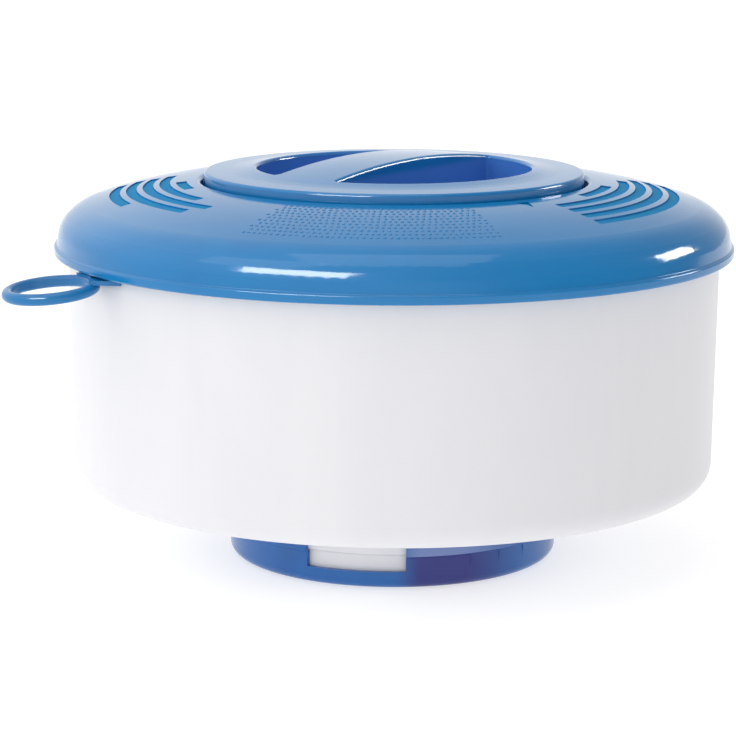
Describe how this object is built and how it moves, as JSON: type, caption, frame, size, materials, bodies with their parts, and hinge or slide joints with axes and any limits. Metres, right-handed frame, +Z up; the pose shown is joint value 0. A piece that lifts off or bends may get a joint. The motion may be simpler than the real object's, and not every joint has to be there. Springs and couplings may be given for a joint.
{
  "type": "floating chlorine dispenser",
  "caption": "Round pool float with a domed lid, twist-off cap with finger pockets, tablet basket, windowed dosing sleeve and tether eye.",
  "frame": {"origin": "centre of the foot it stands on, at the underside of the neck's grille", "axes": "+Z up along the drum's axis, front towards -Y, +X to the right"},
  "size_m": [0.2137, 0.205, 0.1218],
  "materials": {
    "white_drum": "glossy moulded",
    "white_inner": "satin moulded",
    "blue_lid": "glossy moulded",
    "blue_cap": "glossy moulded",
    "blue_sleeve": "glossy moulded",
    "blue_tether": "glossy moulded",
    "seal_rubber": "soft rubber"
  },
  "bodies": {
    "housing": {"drum_shell": "white_drum", "chamber_tube": "white_inner", "chamber_seal_lower": "seal_rubber", "chamber_seal_upper": "seal_rubber", "dosing_neck": "white_drum", "neck_seal": "seal_rubber", "neck_grille": "white_inner", "basket_floor": "white_inner", "basket_foot_ring": "white_inner", "basket_staves": "white_inner", "basket_rim": "white_inner", "lid_shell": "blue_lid", "lid_seal": "seal_rubber", "bayonet_collar": "white_inner", "tether_eye": "blue_tether"},
    "cap_seal": {"cap_seal": "seal_rubber"},
    "cap": {"cap_shell": "blue_cap", "cap_bayonet": "white_inner"},
    "dosing_sleeve": {"dosing_sleeve": "blue_sleeve"}
  },
  "joints": [
    {"name": "cap_turn", "type": "hinge", "parent": "housing", "child": "cap_seal", "pos_m": [0, 0, 0.1107], "axis": [0, 0, 1], "range_deg": [-45, 0]},
    {"name": "cap_lift", "type": "slide", "parent": "cap_seal", "child": "cap", "axis": [0, 0, 1], "range_m": [0, 0.12]},
    {"name": "sleeve_turn", "type": "hinge", "parent": "housing", "child": "dosing_sleeve", "pos_m": [0, 0, 0.0131], "axis": [0, 0, 1], "range_deg": [0, 40]}
  ]
}
